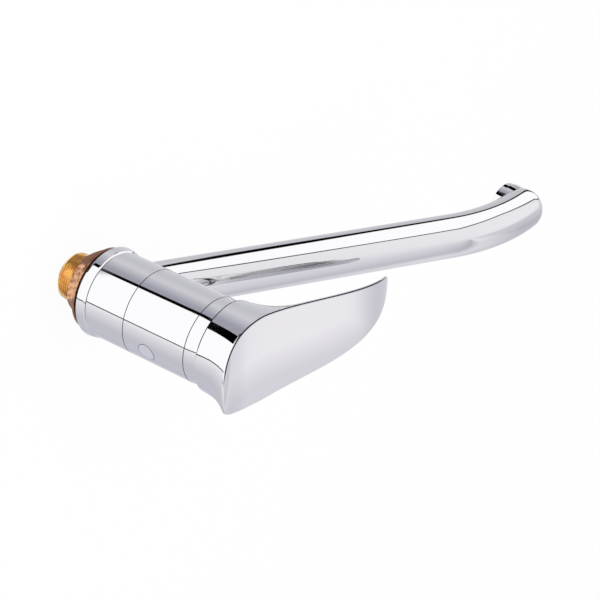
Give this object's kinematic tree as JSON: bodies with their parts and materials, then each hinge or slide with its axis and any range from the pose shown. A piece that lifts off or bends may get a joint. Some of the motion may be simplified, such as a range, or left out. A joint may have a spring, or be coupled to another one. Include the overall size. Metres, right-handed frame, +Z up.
{
  "type": "kitchen mixer tap",
  "caption": "Single-lever kitchen mixer tap in polished chrome with a long rising swivel spout, leaf-shaped lever, brass shank and fixing nut",
  "frame": {"origin": "centre of the tap's sealing face on the sink, on the body axis", "axes": "+Z up the body axis, +X along the spout and the lever, +Y to its left"},
  "size_m": [0.2765, 0.054, 0.1691],
  "materials": {
    "polished_chrome": "polished",
    "bright_brass": "satin",
    "oxidised_brass": "matte",
    "rubber": "matte",
    "glide_plastic": "matte",
    "aerator_plastic": "matte",
    "cartridge_plastic": "satin",
    "alumina": "polished",
    "zinc_steel": "satin",
    "mesh_steel": "satin",
    "cover_plastic": "gloss"
  },
  "bodies": {
    "fixed_body": {"mixer_body": "polished_chrome", "body_plug": "polished_chrome", "base_flange": "polished_chrome", "base_gasket": "rubber", "threaded_shank": "bright_brass", "lower_spout_seal": "rubber", "upper_spout_seal": "rubber", "lower_glide_ring": "glide_plastic", "upper_glide_ring": "glide_plastic", "cartridge_foot": "cartridge_plastic", "cartridge_housing": "cartridge_plastic", "cartridge_nut": "bright_brass", "fixed_ceramic_disc": "alumina", "hot_port_seal": "rubber", "cold_port_seal": "rubber", "mixed_port_seal": "rubber", "dome_collar": "polished_chrome"},
    "spout": {"swivel_spout": "polished_chrome", "aerator_housing": "polished_chrome", "aerator_insert": "aerator_plastic", "aerator_mesh": "mesh_steel", "aerator_washer": "rubber"},
    "rotor": {"cartridge_rotor": "cartridge_plastic"},
    "lever": {"lever_handle": "polished_chrome", "lever_stem": "zinc_steel", "pivot_pin": "zinc_steel", "grub_screw": "zinc_steel", "screw_cover": "cover_plastic"},
    "disc": {"disc_carrier": "cartridge_plastic", "moving_ceramic_disc": "alumina"},
    "washer": {"clamp_washer": "zinc_steel"},
    "nut": {"fixing_nut": "oxidised_brass"}
  },
  "joints": [
    {"name": "spout_swivel", "type": "hinge", "parent": "fixed_body", "child": "spout", "pos_m": [0, 0, 0.0211], "axis": [0, 0, 1], "continuous": true},
    {"name": "lever_turn", "type": "hinge", "parent": "fixed_body", "child": "rotor", "pos_m": [0, 0, 0.076], "axis": [0, 0, 1], "range_deg": [-50, 50]},
    {"name": "lever_lift", "type": "hinge", "parent": "rotor", "child": "lever", "pos_m": [0, 0, 0.076], "axis": [0, -1, 0], "range_deg": [0, 25]},
    {"name": "disc_slide", "type": "slide", "parent": "rotor", "child": "disc", "axis": [1, 0, 0], "range_m": [0, 0.00414]},
    {"name": "nut_travel", "type": "slide", "parent": "fixed_body", "child": "washer", "axis": [0, 0, -1], "range_m": [0, 0.012]},
    {"name": "nut_turn", "type": "hinge", "parent": "washer", "child": "nut", "pos_m": [0, 0, -0.006], "axis": [0, 0, -1], "range_deg": [0, 2880]}
  ],
  "couplings": [
    {"joint": "disc_slide", "follows": "lever_lift", "m_per_rad": 0.0094834},
    {"joint": "nut_travel", "follows": "nut_turn", "m_per_rad": 0.00023873}
  ]
}
